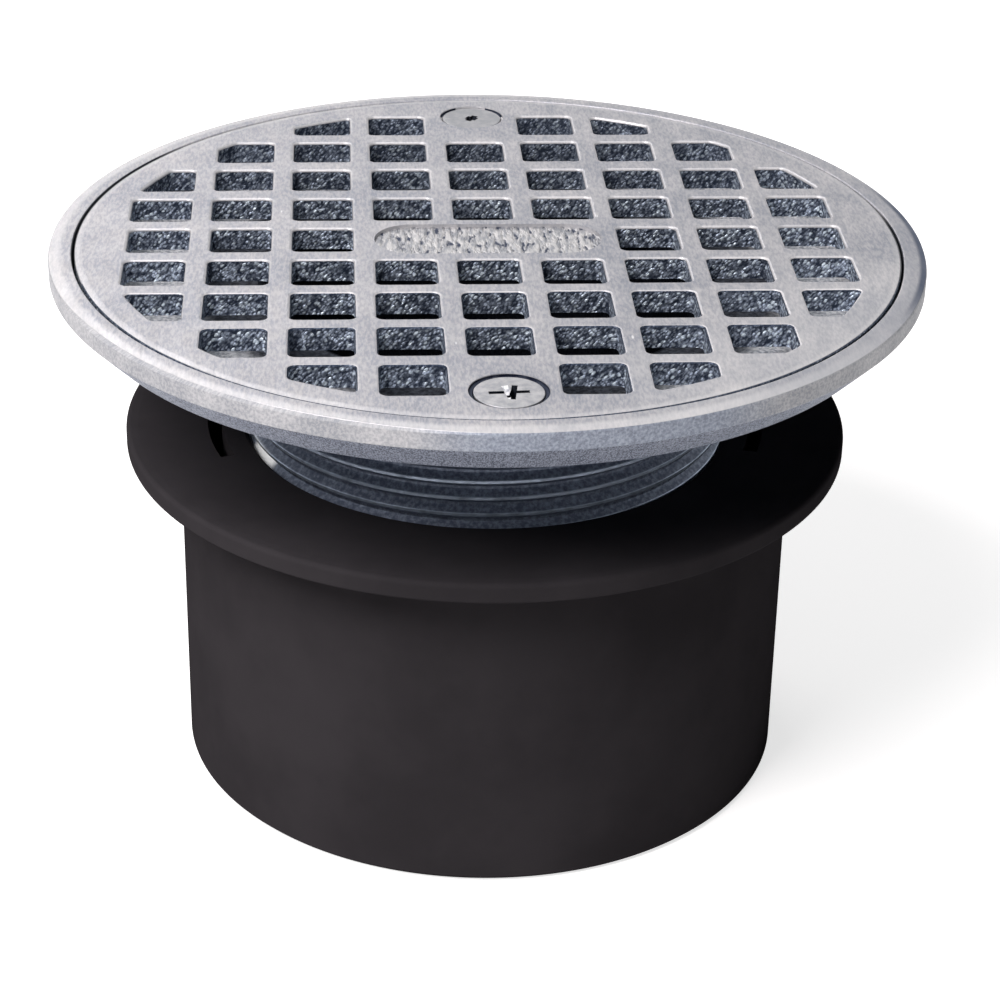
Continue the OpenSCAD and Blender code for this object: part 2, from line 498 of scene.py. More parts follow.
    def _rubbing_and_highlights(self, tree: ShaderTree, off_groove: Signal, depth: Signal) -> Signal:
        """Where hands and tools rub the edges bright, with painted highlights on them, and
        where the front right is painted lighter as painted light.

        Args:
            tree: The material's tree.
            off_groove: The distance outwards from the groove.
            depth: The depth below the top.

        Returns:
            The rubbed wear and painted light, from 0 to about 1.
        """
        rising, falling = self.grate_edge
        grate_edge = off_groove.step(*rising) * off_groove.step(*falling)
        # the rim's painted highlight is left out at the back right
        bright = 1.0 - self.unlit_share * tree.within(self.unlit_rim)
        rim_edge = off_groove.step(*self.rim_edge) * bright
        mouths = depth.step(*self.mouth_depth) * off_groove.step(*self.mouth_band)
        # painted light at the front right
        front = tree.within(self.front) * tree.radius.step(*self.front_light_r)
        edges = grate_edge * self.grate_rub_and_highlight + rim_edge * self.rim_rub_and_highlight
        return edges + mouths * self.mouth_rub_and_highlight + front * self.front_light_share

    def _groove_shading(self, tree: ShaderTree, off_groove: Signal, depth: Signal) -> Signal:
        """Painted shade on the lips of the groove round the grate.

        Args:
            tree: The material's tree.
            off_groove: The distance outwards from the groove.
            depth: The depth below the top.

        Returns:
            The painted shade, from 0 to 1.
        """
        inner, outer = self.lips
        lips = off_groove.step(*inner) * off_groove.step(*outer) * depth.step(*self.lip_depth)
        kept = 1.0 - self.unshaded_share * tree.within(self.unshaded_front)
        return lips * kept * (1.0 - tree.within(self.unshaded_rear))


@dataclass(frozen=True)
class SandCasting:
    """The rough faces that keep the sand mould's grain, with painted glints on some grains and
    painted shade under the mouths, at the foot and on the walls at the back.
    """

    top: float
    foot: float
    name: str = "sand_casting"
    dark: Color = (0.030, 0.040, 0.064)
    middle: Color = (0.66, 0.76, 0.92)
    # spark paints glints on grains; shadow paints shade at the foot
    spark: Color = (0.80, 0.91, 1.0)
    shadow: Color = (0.008, 0.010, 0.015)
    slant: tuple[float, float, float] = (0.46, 0.8, 0.8)
    grain_size: float = 0.42
    grain_edge: Span = (0.85, 0.3)
    grain_share: float = 0.75
    lump_size: float = 0.9
    lump_ends: Span = (0.38, 0.64)
    lump_share: float = 0.4
    contrast: float = 1.8
    relief: float = 0.3
    # painted glints on scattered grains
    spark_size: float = 0.62
    spark_edge: Span = (0.62, 0.25)
    spark_odds: Span = (0.58, 0.85)
    # painted shade under the mouths, at the foot and on the walls at the back
    mouth_depth: Span = (0.75, 0.35)
    mouth_shade: float = 0.8
    foot_height: Span = (0.5, 0.05)
    foot_shade: float = 0.6
    far_y: Span = (12.0, 46.0)
    far_shade: float = 0.4
    far_glint_loss: float = 0.6

    def material(self) -> bpy.types.Material:
        """Builds the material.

        Returns:
            The material.
        """
        tree = ShaderTree.of_material(self.name)
        x, y, z = tree.parts
        along, level, across = self.slant
        place = tree.vector((x + z) * along, y * level, (x - z) * across)
        fine, share = tree.cells(self.grain_size, place)
        grains = fine.step(*self.grain_edge) * share
        lumps = tree.noise(self.lump_size, 4.0, 0.65, place)
        distance, value = tree.cells(self.spark_size, place)
        # painted shade under the mouths, at the foot and on the walls at the back, where the
        # painted glints fade
        shaded_mouth = (self.top - tree.height).step(*self.mouth_depth)
        foot = (tree.height - self.foot).step(*self.foot_height)
        far = (y / MM).step(*self.far_y)
        sparks = distance.step(*self.spark_edge) * value.step(*self.spark_odds) * (1.0 - shaded_mouth)
        sparks = sparks * (1.0 - self.far_glint_loss * far)
        tone = grains * self.grain_share + lumps.step(*self.lump_ends) * self.lump_share
        tone = tone ** self.contrast * (1.0 - self.far_shade * far)
        color = tree.mix(tone, self.dark, self.middle)
        color = tree.mix(shaded_mouth * self.mouth_shade, color, self.dark)
        color = tree.mix(sparks, color, self.spark)
        return tree.finish(
            base_color=tree.mix(foot * self.foot_shade, color, self.shadow),
            metallic=0.5,
            roughness=0.45,
            specular_ior_level=0.0,
            normal=tree.bump(grains * 0.5 + sparks * 0.3 + lumps * 0.2, self.relief, 0.9),
        )


@dataclass(frozen=True)
class CastSide:
    """Faces with a mould skin that was at most wiped by the grinder. Some hold painted shade at one
    bearing, and some painted shade inside a radius.
    """

    name: str
    dark: Color
    light: Color
    wiping: float
    wipe_size: float = 9.0
    grain: float = 0.7
    rise: float = 1.0
    relief: float = 0.2
    gloss: float = 0.5
    rim_r: float = 79.0
    # painted shade: a patch at one bearing is painted darker
    shade_patch: Sector | None = None
    shade_patch_dark: Color = (0.19, 0.215, 0.27)
    shade_patch_light: Color = (0.36, 0.40, 0.475)
    # painted shade: darker inside a radius
    shaded_r: Span | None = None
    shaded_dark: Color = (0.012, 0.014, 0.020)
    shaded_light: Color = (0.085, 0.093, 0.112)

    def material(self) -> bpy.types.Material:
        """Builds the material.

        Returns:
            The material.
        """
        tree = ShaderTree.of_material(self.name)
        place = tree.place if self.shaded_r else tree.rolled(self.rim_r, self.rise)
        grain = tree.noise(self.grain, 3.0, 0.6, place)
        wiped = tree.noise(self.wipe_size, 3.0, 0.55).step(*BLOTCHY)
        tone = grain.step(*GRAINY) * (1.0 - self.wiping) + wiped * self.wiping
        color = tree.mix(tone, self.dark, self.light)
        # painted shade: the patch at one bearing is painted darker
        if self.shade_patch:
            patch_shade = tree.mix(grain.step(*CLOUDY), self.shade_patch_dark, self.shade_patch_light)
            color = tree.mix(tree.within(self.shade_patch), color, patch_shade)
        # painted shade inside a radius
        if self.shaded_r:
            hollow_dark = tree.mix(tone, self.shaded_dark, self.shaded_light)
            color = tree.mix(tree.radius.step(*self.shaded_r), color, hollow_dark)
        return tree.finish(
            base_color=color,
            metallic=0.4,
            roughness=0.6 - 0.1 * wiped,
            specular_ior_level=self.gloss,
            normal=tree.bump(grain, self.relief, 0.8),
        )


@dataclass(frozen=True)
class PebbledCasting:
    """The sunk pad's pebbled face: pale pebbles, some rubbed bright, darker in the hollows between
    them.
    """

    name: str = "pebbled_casting"
    hollow_dark: Color = (0.02, 0.03, 0.062)
    pebble: Color = (0.27, 0.28, 0.305)
    rubbed: Color = (0.50, 0.495, 0.50)
    stroke: tuple[float, float, float] = (1.0, 0.28, 1.0)
    pebble_size: float = 0.9
    hollow_ends: Span = (0.44, 0.32)
    pebble_ends: Span = (0.34, 0.6)
    grain_size: float = 0.7
    relief: float = 0.3

    def material(self) -> bpy.types.Material:
        """Builds the material.

        Returns:
            The material.
        """
        tree = ShaderTree.of_material(self.name)
        place = tree.stretch(self.stroke)
        lumps = tree.noise(self.pebble_size, 2.0, 0.5, place)
        grain = tree.noise(self.grain_size, 2.0, 0.5, place)
        face = tree.mix(grain.step(*GRAINY), self.pebble, self.rubbed)
        pebbles = lumps.step(*self.pebble_ends)
        return tree.finish(
            base_color=tree.mix(lumps.step(*self.hollow_ends), face, self.hollow_dark),
            metallic=0.6,
            roughness=0.5,
            specular_ior_level=0.2,
            normal=tree.bump(pebbles * 0.7 + grain * 0.3, self.relief, 0.9),
        )


@dataclass(frozen=True)
class ThreadCasting:
    """The shank's thread: dull flanks, crests painted lighter as rubbed wear and painted highlight,
    and one painted glint.
    """

    crest_r: float
    name: str = "thread_casting"
    dull: Color = (0.085, 0.10, 0.14)
    light: Color = (0.19, 0.22, 0.28)
    # crests painted lighter: rubbed wear and painted highlight
    rubbed: Color = (0.50, 0.58, 0.71)
    # the colour of a painted glint
    wiped: Color = (1.0, 1.0, 1.0)
    grain_size: float = 0.8
    relief: float = 0.12
    wear_size: float = 4.0
    wear_ends: Span = (0.3, 0.6)
    wear_least: float = 0.35
    crest_band: tuple[Span, Span] = ((-0.2, 0.0), (0.6, 0.4))
    # where the painted glint lies, on the thread's left
    glint_sector: Sector = Sector(199.0, 4.5, 8.0)
    glint_height: tuple[Span, Span] = ((63.4, 64.4), (68.2, 67.0))

    def material(self) -> bpy.types.Material:
        """Builds the material.

        Returns:
            The material.
        """
        tree = ShaderTree.of_material(self.name)
        off_crest = tree.radius - self.crest_r
        rising, falling = self.crest_band
        # crests painted lighter, as rubbed wear and painted highlight
        crest = off_crest.step(*rising) * off_crest.step(*falling)
        grains = tree.noise(self.grain_size, 3.0, 0.6)
        wear = tree.noise(self.wear_size, 2.0).step(*self.wear_ends)
        worn = crest * (self.wear_least + (1.0 - self.wear_least) * wear)
        dull = tree.mix(grains.step(*BLOTCHY), self.dull, self.light)
        # a painted glint on the thread's left
        foot, head = self.glint_height
        wiped = tree.within(self.glint_sector) * tree.height.step(*foot) * tree.height.step(*head)
        return tree.finish(
            base_color=tree.mix(wiped, tree.mix(worn, dull, self.rubbed), self.wiped),
            metallic=0.9,
            roughness=0.5 - 0.12 * worn,
            normal=tree.bump(grains, self.relief, 0.7),
        )


@dataclass(frozen=True)
class BlackPlastic:
    """The moulded body."""

    name: str = "black_plastic"
    deep: Color = (0.030, 0.028, 0.031)
    worn: Color = (0.044, 0.041, 0.045)
    flow: tuple[float, float, float] = (1.0, 1.0, 0.12)
    cloud_size: float = 30.0
    grain_size: float = 0.25
    flow_size: float = 1.2
    relief: float = 0.015

    def material(self) -> bpy.types.Material:
        """Builds the material.

        Returns:
            The material.
        """
        tree = ShaderTree.of_material(self.name)
        clouds = tree.noise(self.cloud_size, 4.0, 0.6).step(*CLOUDY)
        grain = tree.noise(self.grain_size, 2.0, 0.6)
        flow = tree.noise(self.flow_size, 2.0, 0.5, tree.stretch(self.flow))
        return tree.finish(
            base_color=tree.mix(clouds * 0.7 + grain * 0.3, self.deep, self.worn),
            roughness=0.52 + 0.1 * clouds,
            specular_ior_level=0.0,
            normal=tree.bump(grain * 0.5 + flow * 0.5, self.relief, 0.5),
        )


@dataclass(frozen=True)
class ScrewSteel:
    """The screws, turned and left bright."""

    name: str = "screw_steel"
    pale: Color = (0.47, 0.465, 0.475)
    dull: Color = (0.24, 0.25, 0.275)
    blotch_size: float = 1.6
    grain_size: float = 0.3
    relief: float = 0.03

    def material(self) -> bpy.types.Material:
        """Builds the material.

        Returns:
            The material.
        """
        tree = ShaderTree.of_material(self.name)
        blotch = tree.noise(self.blotch_size, 3.0, 0.6).step(*BLOTCHY)
        grain = tree.noise(self.grain_size, 2.0, 0.6)
        return tree.finish(
            base_color=tree.mix(blotch * 0.6 + grain * 0.4, self.dull, self.pale),
            metallic=0.8,
            roughness=0.4 + 0.14 * blotch,
            normal=tree.bump(grain, self.relief, 0.6),
        )


# ---------------------------------------------------------------------------
# Meshes
# ---------------------------------------------------------------------------


@dataclass(frozen=True)
class Corner:
    """A corner of an outline: its place, its radius and the skin of the stretch after it."""

    x: float
    y: float
    radius: float = 0.0
    skin: int = 0


def rounded(corners: Sequence[Corner], closed: bool, steps: int = 6) -> list[Corner]:
    """Rounds an outline's corners with arcs.

    Args:
        corners: The corners in order.
        closed: Whether the last corner joins the first.
        steps: The number of edges in each arc.

    Returns:
        The outline's points. An arc keeps the skin of the stretch before it.
    """
    count = len(corners)
    points: list[Corner] = []
    for index, corner in enumerate(corners):
        inner = closed or 0 < index < count - 1
        if not inner or corner.radius <= 0.0:
            points.append(corner)
            continue
        before, after = corners[index - 1], corners[(index + 1) % count]
        here = Vector((corner.x, corner.y))
        back = Vector((before.x, before.y)) - here
        on = Vector((after.x, after.y)) - here
        half = 0.5 * back.angle(on)
        reach = min(corner.radius / math.tan(half), 0.49 * back.length, 0.49 * on.length)
        radius = reach * math.tan(half)
        start, end = here + back.normalized() * reach, here + on.normalized() * reach
        centre = here + (back.normalized() + on.normalized()).normalized() * radius / math.sin(half)
        first, last = start - centre, end - centre
        sweep = first.angle_signed(last)
        for step in range(steps + 1):
            spoke = first.copy()
            spoke.rotate(Matrix.Rotation(-sweep * step / steps, 2))
            point = centre + spoke
            skin = corner.skin if step == steps else before.skin
            points.append(Corner(point.x, point.y, 0.0, skin))
    return points


def arc(
    radius: float, start: float, sweep: float, steps: int, centre: Span = (0.0, 0.0)
) -> list[tuple[float, float]]:
    """Points along an arc, without the last one where it is a full turn.

    Args:
        radius: Its radius.
        start: The angle of its first point, in radians.
        sweep: The angle that it covers, in radians, positive for counter-clockwise.
        steps: The number of its edges.
        centre: Its centre.

    Returns:
        The points.
    """
    count = steps if abs(sweep) == FULL_TURN else steps + 1
    turns = [start + sweep * step / steps for step in range(count)]
    return [(centre[0] + radius * math.cos(a), centre[1] + radius * math.sin(a)) for a in turns]


def added(
    name: str, data: bpy.types.ID, skins: Sequence[bpy.types.Material] = ()
) -> bpy.types.Object:
    """Puts data into the scene as an object.

    Args:
        name: The object's name.
        data: A mesh, curve, camera or lamp.
        skins: Materials to append to it.

    Returns:
        The object.
    """
    for skin in skins:
        data.materials.append(skin)
    made = bpy.data.objects.new(name, data)
    bpy.context.scene.collection.objects.link(made)
    return made


def formed(
    name: str, mesh: bmesh.types.BMesh, skins: Sequence[bpy.types.Material]
) -> bpy.types.Object:
    """Turns a worked mesh into an object and frees it.

    Args:
        name: The object's name.
        mesh: The worked mesh.
        skins: The object's materials.

    Returns:
        The object.
    """
    data = bpy.data.meshes.new(name)
    mesh.to_mesh(data)
    mesh.free()
    return added(name, data, skins)


class Former:
    """Builds one closed mesh out of turned walls and threads."""

    def __init__(
        self, name: str, skins: Sequence[bpy.types.Material], segments: int = 288
    ) -> None:
        """Starts an empty mesh.

        Args:
            name: The piece's name.
            skins: Its materials, in slot order.
            segments: The number of steps round the axis.
        """
        self.name = name
        self.skins = skins
        self.segments = segments
        self.mesh = bmesh.new()

    def _ring(self, radii: Sequence[float], heights: Sequence[float]) -> list[bmesh.types.BMVert]:
        """Adds a ring of points, the last of which lies above or on the first.

        Args:
            radii: The radius of each point.
            heights: The height of each point.

        Returns:
            The new vertices.
        """
        ring = []
        for index, (reach, height) in enumerate(zip(radii, heights)):
            turn = FULL_TURN * (index % self.segments) / self.segments
            place = (reach * math.cos(turn) * MM, reach * math.sin(turn) * MM, height * MM)
            ring.append(self.mesh.verts.new(place))
        return ring

    def _skin_rings(self, rings: Sequence[list], skins: Sequence[int]) -> None:
        """Joins each ring to the next.

        Args:
            rings: The rings in order.
            skins: The skin between each ring and the next.
        """
        for low, high, skin in zip(rings, rings[1:], skins):
            for index in range(self.segments):
                corners = (low[index], low[index + 1], high[index + 1], high[index])
                face = self.mesh.faces.new(corners)
                face.material_index = skin
                face.smooth = True

    def turn(self, outline: Sequence[Corner], closed: bool = False) -> "Former":
        """Turns an outline round the axis.

        Args:
            outline: The points, with x as the radius and y as the height.
            closed: Whether the last point joins the first.

        Returns:
            This former.
        """
        points = [*outline, outline[0]] if closed else outline
        count = self.segments + 1
        rings = [self._ring([point.x] * count, [point.y] * count) for point in points]
        self._skin_rings(rings, [point.skin for point in points])
        return self

    def thread(
        self, low: float, high: float, root: float, crest: float, pitch: float,
        phase: float = 0.0, fade: float = 1.0, flat: float = 0.16, skin: int = 0,
        rows: int = 14,
    ) -> "Former":
        """Adds a wall with a right-hand thread that fades out at both ends.

        Args:
            low: The height of the wall's lower end.
            high: The height of its upper end.
            root: The radius at the thread's root, and at both ends.
            crest: The radius at its crest, or the root's for a plain wall.
            pitch: The pitch.
            phase: Where a crest passes on the +X side, as a height.
            fade: The length of each run-out, in pitches.
            flat: The width of the crest's flat, in pitches.
            skin: The wall's skin.
            rows: The number of rows in each pitch.

        Returns:
            This former.
        """
        first = math.floor((low - phase) / pitch * rows) - rows - 1
        last = math.ceil((high - phase) / pitch * rows) + 1
        rings = []
        for row in range(first, last + 1):
            off_crest = abs((row / rows + 0.5) % 1.0 - 0.5)
            share = 1.0 - min(max(off_crest - flat / 2, 0.0) / (0.5 - flat), 1.0)
            heights, radii = [], []
            for index in range(self.segments + 1):
                height = phase + pitch * (row / rows + index / self.segments)
                height = min(max(height, low), high)
                edge = min(height - low, high - height) / (fade * pitch)
                edge = min(max(edge, 0.0), 1.0)
                heights.append(height)
                radii.append(root + (crest - root) * share * edge * edge * (3.0 - 2.0 * edge))
            rings.append(self._ring(radii, heights))
        self._skin_rings(rings, [skin] * len(rings))
        return self

    def close(self) -> bpy.types.Object:
        """Welds the seams and makes the object.

        Returns:
            The object, in place.
        """
        bmesh.ops.remove_doubles(self.mesh, verts=self.mesh.verts, dist=WELD)
        bmesh.ops.dissolve_degenerate(self.mesh, edges=self.mesh.edges, dist=WELD)
        bmesh.ops.recalc_face_normals(self.mesh, faces=self.mesh.faces)
        return formed(self.name, self.mesh, self.skins)


def prism(
    name: str, foot: Sequence[tuple[float, float]], low: float, high: float,
    skins: Sequence[bpy.types.Material], skin: int = 0,
    top: Sequence[tuple[float, float]] | None = None,
) -> bpy.types.Object:
    """Makes an upright prism, or a tapered one.

    Args:
        name: The object's name.
        foot: Its outline at the foot, counter-clockwise from above.
        low: The height of its foot.
        high: The height of its top.
        skins: Its materials.
        skin: The skin of all its faces.
        top: Its outline at the top, where that differs from the foot's.

    Returns:
        The object.
    """
    mesh = bmesh.new()
    lower, upper = (
        [mesh.verts.new((x * MM, y * MM, height * MM)) for x, y in outline]
        for outline, height in ((foot, low), (top or foot, high))
    )
    mesh.faces.new(list(reversed(lower)))
    mesh.faces.new(upper)
    for index in range(len(lower)):
        after = (index + 1) % len(lower)
        mesh.faces.new((lower[index], lower[after], upper[after], upper[index]))
    for face in mesh.faces:
        face.material_index = skin
    return formed(name, mesh, skins)


def evaluated(thing: bpy.types.Object) -> bpy.types.Mesh:
    """A new mesh with the object's modifiers applied."""
    depsgraph = bpy.context.evaluated_depsgraph_get()
    return bpy.data.meshes.new_from_object(thing.evaluated_get(depsgraph))


def settle(thing: bpy.types.Object) -> None:
    """Makes a piece's modifiers part of its mesh.

    Args:
        thing: The piece.
    """
    data = evaluated(thing)
    thing.modifiers.clear()
    thing.data = data


def combine(thing: bpy.types.Object, tools: Sequence[bpy.types.Object], join: Join) -> None:
    """Adds solids to a piece, cuts them out of it or trims it to them, and removes them.

    Args:
        thing: The piece.
        tools: The solids.
        join: What they do.
    """
    for tool in tools:
        change = thing.modifiers.new(tool.name, "BOOLEAN")
        change.operation = join.value
        change.solver = "EXACT"
        change.object = tool
    settle(thing)
    for tool in tools:
        bpy.data.objects.remove(tool)


def swell(
    thing: bpy.types.Object, swellings: Sequence[Swelling], radii: Span, low: float
) -> None:
    """Moves part of a turned piece outwards, more at some bearings than at others.

    Args:
        thing: The piece.
        swellings: Where it grows, and by how much.
        radii: The radii between which points are moved.
        low: The height above which they are moved.
    """
    for vertex in thing.data.vertices:
        reach = vertex.co.to_2d().length / MM
        if not radii[0] < reach < radii[1] or vertex.co.z < low * MM:
            continue
        turn = math.degrees(math.atan2(vertex.co.y, vertex.co.x))
        growth = sum(
            by * math.exp(-(((turn - at + 180.0) % 360.0 - 180.0) / width) ** 6)
            for at, width, by in swellings
        )
        vertex.co.x *= 1.0 + growth / reach
        vertex.co.y *= 1.0 + growth / reach


def shade(thing: bpy.types.Object, angle: float = 38.0) -> None:
    """Shades a piece smooth, with edges over an angle kept sharp.

    Args:
        thing: The piece.
        angle: The least angle of a sharp edge, in degrees.
    """
    thing.data.polygons.foreach_set("use_smooth", [True] * len(thing.data.polygons))
    thing.data.set_sharp_from_angle(angle=math.radians(angle))
    weighted = thing.modifiers.new("weighted_normals", "WEIGHTED_NORMAL")
    weighted.keep_sharp = True
    settle(thing)


# ---------------------------------------------------------------------------
# The drain's pieces
# ---------------------------------------------------------------------------


@dataclass(frozen=True)
class Fit:
    """The sizes that two or more pieces share."""

    strainer_z: float = 101.6
    thread_r: float = 44.45
    thread_depth: float = 1.3
    thread_gap: float = 0.15
    thread_lead: float = 0.8
    pitch: float = 3.175
    thread_phase: float = 2.25
    grate_t: float = 4.7
    grate_r: float = 74.825
    seat_gap: float = 0.35
    screw_r: float = 64.525
    screw_d: float = 6.35
    head_d: float = 11.7
    head_sink: float = 0.25


@dataclass
class StrainerFrame:
    """The cast frame: rim, seat, dished floor, screw bosses and threaded shank."""

    fit: Fit
    skins: list[bpy.types.Material]
    outer_r: float = 79.375
    side_h: float = 3.6
    shoulder_w: float = 2.6
    shoulder_drop: float = 0.35
    shoulder_round: float = 9.0
    edge_w: float = 0.16
    edge_h: float = 0.4
    bevel_w: float = 5.6
    bevel_h: float = 5.7
    floor_t: float = 3.2
    floor_drop: float = 3.1
    floor_fall: float = 0.9
    floor_bend_r: float = 54.5
    floor_bend: float = 0.45
    ledge_w: float = 5.0
    bore_r: float = 40.6
    shank_len: float = 50.8
    neck_h: float = 3.5
    boss_d: float = 12.5
    boss_sink: float = 0.05
    tap_gap: float = 0.08
    tap_depth: float = 20.0
    arc_steps: int = 32
    seat_swellings: tuple[Swelling, ...] = (Swelling(319.0, 24.0, 0.2),)
    edge_swellings: tuple[Swelling, ...] = (Swelling(232.0, 30.0, -0.7),)

    def build(self) -> bpy.types.Object:
        """Builds the frame's mesh.

        Returns:
            The piece.
        """
        top, lead = self.fit.strainer_z, self.fit.thread_lead
        seat_r = self.fit.grate_r + self.fit.seat_gap
        ledge_r, ledge_z = seat_r - self.ledge_w, top - self.fit.grate_t
        floor_r, floor_z = ledge_r - self.floor_drop, ledge_z - self.floor_drop
        floor_low = floor_z - self.floor_fall
        bend_z = floor_z - self.floor_fall * self.floor_bend
        root_r = self.fit.thread_r - self.fit.thread_depth
        thread_top = floor_low - self.floor_t - self.neck_h
        shank_low = top - self.shank_len
        edge_z, side_z = top - self.shoulder_drop, top - self.side_h
        former = Former("strainer_frame_casting", self.skins).turn(rounded([
            Corner(root_r, shank_low + lead, 0.0, Skin.THREAD),
            Corner(root_r - lead, shank_low, 0.0, Skin.THREAD),
            # the bore is painted shade
            Corner(self.bore_r, shank_low, 0.5, Skin.INSIDE),
            # the floor is pale as painted light, and darker further in as painted shade
            Corner(self.bore_r, floor_low, 1.5, Skin.LIT_LEDGE),
            Corner(self.floor_bend_r, bend_z, 0.0, Skin.LIT_LEDGE),
            Corner(floor_r, floor_z, 1.5, Skin.LIT_LEDGE),
            Corner(ledge_r, ledge_z, 0.5, Skin.GROUND),
            Corner(seat_r, ledge_z, 0.3, Skin.GROUND),
            Corner(seat_r, top, 0.3, Skin.GROUND),
            Corner(self.outer_r - self.shoulder_w, top, self.shoulder_round, Skin.GROUND),
            Corner(self.outer_r - self.edge_w, edge_z, 0.12, Skin.SIDE),
            Corner(self.outer_r, edge_z - self.edge_h, 0.3, Skin.SIDE),
            Corner(self.outer_r, side_z, 0.35, Skin.BEVEL),
            Corner(self.outer_r - self.bevel_w, side_z - self.bevel_h, 0.9, Skin.SAND),
            Corner(floor_r, floor_z - self.floor_t, 2.0, Skin.SAND),
            Corner(root_r, floor_low - self.floor_t, 1.6, Skin.THREAD),
            Corner(root_r, thread_top, 0.0, Skin.THREAD),
        ], closed=False))
        former.thread(
            shank_low + lead, thread_top, root_r, self.fit.thread_r, self.fit.pitch,
            self.fit.thread_phase, fade=0.9, skin=Skin.THREAD,
        )
        made = former.close()
        swell(made, self.seat_swellings, (seat_r - 0.1, seat_r + 0.35), ledge_z + 0.6)
        swell(made, self.edge_swellings, (self.outer_r - 0.5, self.outer_r - 0.05), edge_z - 0.2)
        combine(made, self._bosses(ledge_r, ledge_z), Join.ADD)
        combine(made, self._screw_holes(), Join.CUT)
        shade(made)
        return made

    def _bosses(self, ledge_r: float, ledge_z: float) -> list[bpy.types.Object]:
        """The two bosses under the screws.

        Args:
            ledge_r: The ledge's inner radius.
            ledge_z: The ledge's height.

        Returns:
            The solids.
        """
        bosses = []
        radius, back = self.boss_d / 2, ledge_r + BITE
        low = ledge_z - self.floor_drop - self.floor_fall - 0.5
        high = ledge_z - self.boss_sink
        nose = arc(radius, 0.0, -math.pi, self.arc_steps, (0.0, self.fit.screw_r))
        outline = [(-radius, back), (radius, back), *nose][::-1]
        for side in (-1, 1):
            turned = [(side * x, side * y) for x, y in outline]
            bosses.append(prism("boss", turned, low, high, self.skins, Skin.SAND))
        return bosses

    def _screw_holes(self) -> list[bpy.types.Object]:
        """The two tapped holes.

        Returns:
            The cutters.
        """
        cutters = []
        radius, top = self.fit.screw_d / 2 + self.tap_gap, self.fit.strainer_z
        low, high = top - self.tap_depth, top - OVER
        for side in (-1, 1):
            ring = arc(radius, 0.0, FULL_TURN, self.arc_steps, (0.0, side * self.fit.screw_r))
            cutters.append(prism("tap", ring, low, high, self.skins, Skin.THREAD))
        return cutters

    def dress(self, piece: bpy.types.Object) -> None:
        """Puts the piece in place of its CAD node.

        Args:
            piece: The built piece.
        """
        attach(piece, "strainer_frame")
        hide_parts("strainer_frame")


